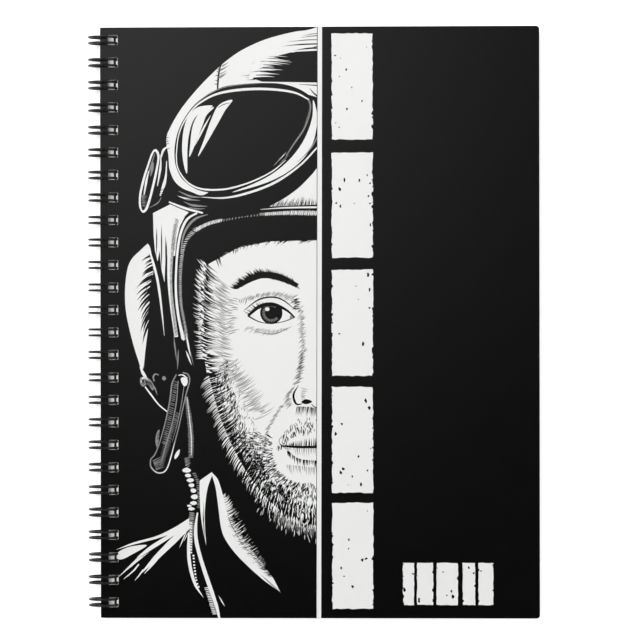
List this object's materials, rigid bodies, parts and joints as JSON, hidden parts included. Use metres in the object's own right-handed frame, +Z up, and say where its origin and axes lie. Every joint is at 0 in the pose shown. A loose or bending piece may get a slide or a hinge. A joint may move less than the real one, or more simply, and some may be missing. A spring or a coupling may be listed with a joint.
{
  "type": "wire-bound log notebook",
  "caption": "Portrait log notebook: two laminated covers and punched leaves turn on a black double-loop wire down the spine; illustrated front cover.",
  "frame": {"origin": "under the middle of the bounding box, on the surface that the book lies on, back cover down", "axes": "+X from the spine to the fore edge, +Y up the page to the head, +Z up out of the front cover"},
  "size_m": [0.17, 0.2222, 0.0113],
  "materials": {
    "coated_wire": "satin",
    "board_core": "matte",
    "printed_laminate": "satin",
    "plain_laminate": "satin",
    "lining_laminate": "satin",
    "log_paper": "matte"
  },
  "bodies": {
    "back_cover": {"back_board": "board_core", "back_outer_sheet": "plain_laminate", "back_lining_sheet": "lining_laminate"},
    "front_cover": {"front_board": "board_core", "front_print_sheet": "printed_laminate", "front_lining_sheet": "lining_laminate"},
    "binding_wire": {"binding_wire": "coated_wire"},
    "leaf_01": {"log_leaf_01": "log_paper"},
    "leaf_02": {"log_leaf_02": "log_paper"},
    "leaf_03": {"log_leaf_03": "log_paper"},
    "leaf_04": {"log_leaf_04": "log_paper"},
    "leaf_05": {"log_leaf_05": "log_paper"},
    "leaf_06": {"log_leaf_06": "log_paper"},
    "leaf_07": {"log_leaf_07": "log_paper"},
    "leaf_08": {"log_leaf_08": "log_paper"},
    "leaf_09": {"log_leaf_09": "log_paper"},
    "leaf_10": {"log_leaf_10": "log_paper"},
    "leaf_11": {"log_leaf_11": "log_paper"},
    "leaf_12": {"log_leaf_12": "log_paper"},
    "leaf_13": {"log_leaf_13": "log_paper"},
    "leaf_14": {"log_leaf_14": "log_paper"},
    "leaf_15": {"log_leaf_15": "log_paper"},
    "leaf_16": {"log_leaf_16": "log_paper"},
    "leaf_17": {"log_leaf_17": "log_paper"},
    "leaf_18": {"log_leaf_18": "log_paper"},
    "leaf_19": {"log_leaf_19": "log_paper"},
    "leaf_20": {"log_leaf_20": "log_paper"},
    "leaf_21": {"log_leaf_21": "log_paper"},
    "leaf_22": {"log_leaf_22": "log_paper"},
    "leaf_23": {"log_leaf_23": "log_paper"},
    "leaf_24": {"log_leaf_24": "log_paper"},
    "leaf_25": {"log_leaf_25": "log_paper"},
    "leaf_26": {"log_leaf_26": "log_paper"},
    "leaf_27": {"log_leaf_27": "log_paper"},
    "leaf_28": {"log_leaf_28": "log_paper"},
    "leaf_29": {"log_leaf_29": "log_paper"},
    "leaf_30": {"log_leaf_30": "log_paper"},
    "leaf_31": {"log_leaf_31": "log_paper"},
    "leaf_32": {"log_leaf_32": "log_paper"},
    "leaf_33": {"log_leaf_33": "log_paper"},
    "leaf_34": {"log_leaf_34": "log_paper"},
    "leaf_35": {"log_leaf_35": "log_paper"},
    "leaf_36": {"log_leaf_36": "log_paper"}
  },
  "joints": [
    {"name": "front_cover_hinge", "type": "hinge", "parent": "back_cover", "child": "front_cover", "pos_m": [-0.07973, 0, 0.00565], "axis": [0, -1, 0], "range_deg": [0, 180]},
    {"name": "wire_turn", "type": "hinge", "parent": "back_cover", "child": "binding_wire", "pos_m": [-0.07933, 0, 0.00565], "axis": [0, -1, 0], "range_deg": [0, 174.7]},
    {"name": "leaf_01_turn", "type": "hinge", "parent": "back_cover", "child": "leaf_01", "pos_m": [-0.07933, 0, 0.00565], "axis": [0, -1, 0], "range_deg": [0, 164.7]},
    {"name": "leaf_02_turn", "type": "hinge", "parent": "back_cover", "child": "leaf_02", "pos_m": [-0.07933, 0, 0.00565], "axis": [0, -1, 0], "range_deg": [0, 160.1]},
    {"name": "leaf_03_turn", "type": "hinge", "parent": "back_cover", "child": "leaf_03", "pos_m": [-0.07933, 0, 0.00565], "axis": [0, -1, 0], "range_deg": [0, 155.5]},
    {"name": "leaf_04_turn", "type": "hinge", "parent": "back_cover", "child": "leaf_04", "pos_m": [-0.07933, 0, 0.00565], "axis": [0, -1, 0], "range_deg": [0, 151]},
    {"name": "leaf_05_turn", "type": "hinge", "parent": "back_cover", "child": "leaf_05", "pos_m": [-0.07933, 0, 0.00565], "axis": [0, -1, 0], "range_deg": [0, 146.4]},
    {"name": "leaf_06_turn", "type": "hinge", "parent": "back_cover", "child": "leaf_06", "pos_m": [-0.07933, 0, 0.00565], "axis": [0, -1, 0], "range_deg": [0, 141.8]},
    {"name": "leaf_07_turn", "type": "hinge", "parent": "back_cover", "child": "leaf_07", "pos_m": [-0.07933, 0, 0.00565], "axis": [0, -1, 0], "range_deg": [0, 137.2]},
    {"name": "leaf_08_turn", "type": "hinge", "parent": "back_cover", "child": "leaf_08", "pos_m": [-0.07933, 0, 0.00565], "axis": [0, -1, 0], "range_deg": [0, 132.7]},
    {"name": "leaf_09_turn", "type": "hinge", "parent": "back_cover", "child": "leaf_09", "pos_m": [-0.07933, 0, 0.00565], "axis": [0, -1, 0], "range_deg": [0, 128.1]},
    {"name": "leaf_10_turn", "type": "hinge", "parent": "back_cover", "child": "leaf_10", "pos_m": [-0.07933, 0, 0.00565], "axis": [0, -1, 0], "range_deg": [0, 123.5]},
    {"name": "leaf_11_turn", "type": "hinge", "parent": "back_cover", "child": "leaf_11", "pos_m": [-0.07933, 0, 0.00565], "axis": [0, -1, 0], "range_deg": [0, 118.9]},
    {"name": "leaf_12_turn", "type": "hinge", "parent": "back_cover", "child": "leaf_12", "pos_m": [-0.07933, 0, 0.00565], "axis": [0, -1, 0], "range_deg": [0, 114.4]},
    {"name": "leaf_13_turn", "type": "hinge", "parent": "back_cover", "child": "leaf_13", "pos_m": [-0.07933, 0, 0.00565], "axis": [0, -1, 0], "range_deg": [0, 109.8]},
    {"name": "leaf_14_turn", "type": "hinge", "parent": "back_cover", "child": "leaf_14", "pos_m": [-0.07933, 0, 0.00565], "axis": [0, -1, 0], "range_deg": [0, 105.2]},
    {"name": "leaf_15_turn", "type": "hinge", "parent": "back_cover", "child": "leaf_15", "pos_m": [-0.07933, 0, 0.00565], "axis": [0, -1, 0], "range_deg": [0, 100.7]},
    {"name": "leaf_16_turn", "type": "hinge", "parent": "back_cover", "child": "leaf_16", "pos_m": [-0.07933, 0, 0.00565], "axis": [0, -1, 0], "range_deg": [0, 96.1]},
    {"name": "leaf_17_turn", "type": "hinge", "parent": "back_cover", "child": "leaf_17", "pos_m": [-0.07933, 0, 0.00565], "axis": [0, -1, 0], "range_deg": [0, 91.5]},
    {"name": "leaf_18_turn", "type": "hinge", "parent": "back_cover", "child": "leaf_18", "pos_m": [-0.07933, 0, 0.00565], "axis": [0, -1, 0], "range_deg": [0, 86.9]},
    {"name": "leaf_19_turn", "type": "hinge", "parent": "back_cover", "child": "leaf_19", "pos_m": [-0.07933, 0, 0.00565], "axis": [0, -1, 0], "range_deg": [0, 82.4]},
    {"name": "leaf_20_turn", "type": "hinge", "parent": "back_cover", "child": "leaf_20", "pos_m": [-0.07933, 0, 0.00565], "axis": [0, -1, 0], "range_deg": [0, 77.8]},
    {"name": "leaf_21_turn", "type": "hinge", "parent": "back_cover", "child": "leaf_21", "pos_m": [-0.07933, 0, 0.00565], "axis": [0, -1, 0], "range_deg": [0, 73.2]},
    {"name": "leaf_22_turn", "type": "hinge", "parent": "back_cover", "child": "leaf_22", "pos_m": [-0.07933, 0, 0.00565], "axis": [0, -1, 0], "range_deg": [0, 68.6]},
    {"name": "leaf_23_turn", "type": "hinge", "parent": "back_cover", "child": "leaf_23", "pos_m": [-0.07933, 0, 0.00565], "axis": [0, -1, 0], "range_deg": [0, 64.1]},
    {"name": "leaf_24_turn", "type": "hinge", "parent": "back_cover", "child": "leaf_24", "pos_m": [-0.07933, 0, 0.00565], "axis": [0, -1, 0], "range_deg": [0, 59.5]},
    {"name": "leaf_25_turn", "type": "hinge", "parent": "back_cover", "child": "leaf_25", "pos_m": [-0.07933, 0, 0.00565], "axis": [0, -1, 0], "range_deg": [0, 54.9]},
    {"name": "leaf_26_turn", "type": "hinge", "parent": "back_cover", "child": "leaf_26", "pos_m": [-0.07933, 0, 0.00565], "axis": [0, -1, 0], "range_deg": [0, 50.4]},
    {"name": "leaf_27_turn", "type": "hinge", "parent": "back_cover", "child": "leaf_27", "pos_m": [-0.07933, 0, 0.00565], "axis": [0, -1, 0], "range_deg": [0, 45.8]},
    {"name": "leaf_28_turn", "type": "hinge", "parent": "back_cover", "child": "leaf_28", "pos_m": [-0.07933, 0, 0.00565], "axis": [0, -1, 0], "range_deg": [0, 41.2]},
    {"name": "leaf_29_turn", "type": "hinge", "parent": "back_cover", "child": "leaf_29", "pos_m": [-0.07933, 0, 0.00565], "axis": [0, -1, 0], "range_deg": [0, 36.6]},
    {"name": "leaf_30_turn", "type": "hinge", "parent": "back_cover", "child": "leaf_30", "pos_m": [-0.07933, 0, 0.00565], "axis": [0, -1, 0], "range_deg": [0, 32.1]},
    {"name": "leaf_31_turn", "type": "hinge", "parent": "back_cover", "child": "leaf_31", "pos_m": [-0.07933, 0, 0.00565], "axis": [0, -1, 0], "range_deg": [0, 27.5]},
    {"name": "leaf_32_turn", "type": "hinge", "parent": "back_cover", "child": "leaf_32", "pos_m": [-0.07933, 0, 0.00565], "axis": [0, -1, 0], "range_deg": [0, 22.9]},
    {"name": "leaf_33_turn", "type": "hinge", "parent": "back_cover", "child": "leaf_33", "pos_m": [-0.07933, 0, 0.00565], "axis": [0, -1, 0], "range_deg": [0, 18.3]},
    {"name": "leaf_34_turn", "type": "hinge", "parent": "back_cover", "child": "leaf_34", "pos_m": [-0.07933, 0, 0.00565], "axis": [0, -1, 0], "range_deg": [0, 13.8]},
    {"name": "leaf_35_turn", "type": "hinge", "parent": "back_cover", "child": "leaf_35", "pos_m": [-0.07933, 0, 0.00565], "axis": [0, -1, 0], "range_deg": [0, 9.2]},
    {"name": "leaf_36_turn", "type": "hinge", "parent": "back_cover", "child": "leaf_36", "pos_m": [-0.07933, 0, 0.00565], "axis": [0, -1, 0], "range_deg": [0, 4.6]}
  ],
  "couplings": [
    {"joint": "wire_turn", "follows": "front_cover_hinge", "ratio": 0.97},
    {"joint": "leaf_01_turn", "follows": "front_cover_hinge", "ratio": 0.91459},
    {"joint": "leaf_02_turn", "follows": "front_cover_hinge", "ratio": 0.88919},
    {"joint": "leaf_03_turn", "follows": "front_cover_hinge", "ratio": 0.86378},
    {"joint": "leaf_04_turn", "follows": "front_cover_hinge", "ratio": 0.83838},
    {"joint": "leaf_05_turn", "follows": "front_cover_hinge", "ratio": 0.81297},
    {"joint": "leaf_06_turn", "follows": "front_cover_hinge", "ratio": 0.78757},
    {"joint": "leaf_07_turn", "follows": "front_cover_hinge", "ratio": 0.76216},
    {"joint": "leaf_08_turn", "follows": "front_cover_hinge", "ratio": 0.73676},
    {"joint": "leaf_09_turn", "follows": "front_cover_hinge", "ratio": 0.71135},
    {"joint": "leaf_10_turn", "follows": "front_cover_hinge", "ratio": 0.68595},
    {"joint": "leaf_11_turn", "follows": "front_cover_hinge", "ratio": 0.66054},
    {"joint": "leaf_12_turn", "follows": "front_cover_hinge", "ratio": 0.63514},
    {"joint": "leaf_13_turn", "follows": "front_cover_hinge", "ratio": 0.60973},
    {"joint": "leaf_14_turn", "follows": "front_cover_hinge", "ratio": 0.58432},
    {"joint": "leaf_15_turn", "follows": "front_cover_hinge", "ratio": 0.55892},
    {"joint": "leaf_16_turn", "follows": "front_cover_hinge", "ratio": 0.53351},
    {"joint": "leaf_17_turn", "follows": "front_cover_hinge", "ratio": 0.50811},
    {"joint": "leaf_18_turn", "follows": "front_cover_hinge", "ratio": 0.4827},
    {"joint": "leaf_19_turn", "follows": "front_cover_hinge", "ratio": 0.4573},
    {"joint": "leaf_20_turn", "follows": "front_cover_hinge", "ratio": 0.43189},
    {"joint": "leaf_21_turn", "follows": "front_cover_hinge", "ratio": 0.40649},
    {"joint": "leaf_22_turn", "follows": "front_cover_hinge", "ratio": 0.38108},
    {"joint": "leaf_23_turn", "follows": "front_cover_hinge", "ratio": 0.35568},
    {"joint": "leaf_24_turn", "follows": "front_cover_hinge", "ratio": 0.33027},
    {"joint": "leaf_25_turn", "follows": "front_cover_hinge", "ratio": 0.30486},
    {"joint": "leaf_26_turn", "follows": "front_cover_hinge", "ratio": 0.27946},
    {"joint": "leaf_27_turn", "follows": "front_cover_hinge", "ratio": 0.25405},
    {"joint": "leaf_28_turn", "follows": "front_cover_hinge", "ratio": 0.22865},
    {"joint": "leaf_29_turn", "follows": "front_cover_hinge", "ratio": 0.20324},
    {"joint": "leaf_30_turn", "follows": "front_cover_hinge", "ratio": 0.17784},
    {"joint": "leaf_31_turn", "follows": "front_cover_hinge", "ratio": 0.15243},
    {"joint": "leaf_32_turn", "follows": "front_cover_hinge", "ratio": 0.12703},
    {"joint": "leaf_33_turn", "follows": "front_cover_hinge", "ratio": 0.10162},
    {"joint": "leaf_34_turn", "follows": "front_cover_hinge", "ratio": 0.07622},
    {"joint": "leaf_35_turn", "follows": "front_cover_hinge", "ratio": 0.05081},
    {"joint": "leaf_36_turn", "follows": "front_cover_hinge", "ratio": 0.02541}
  ]
}
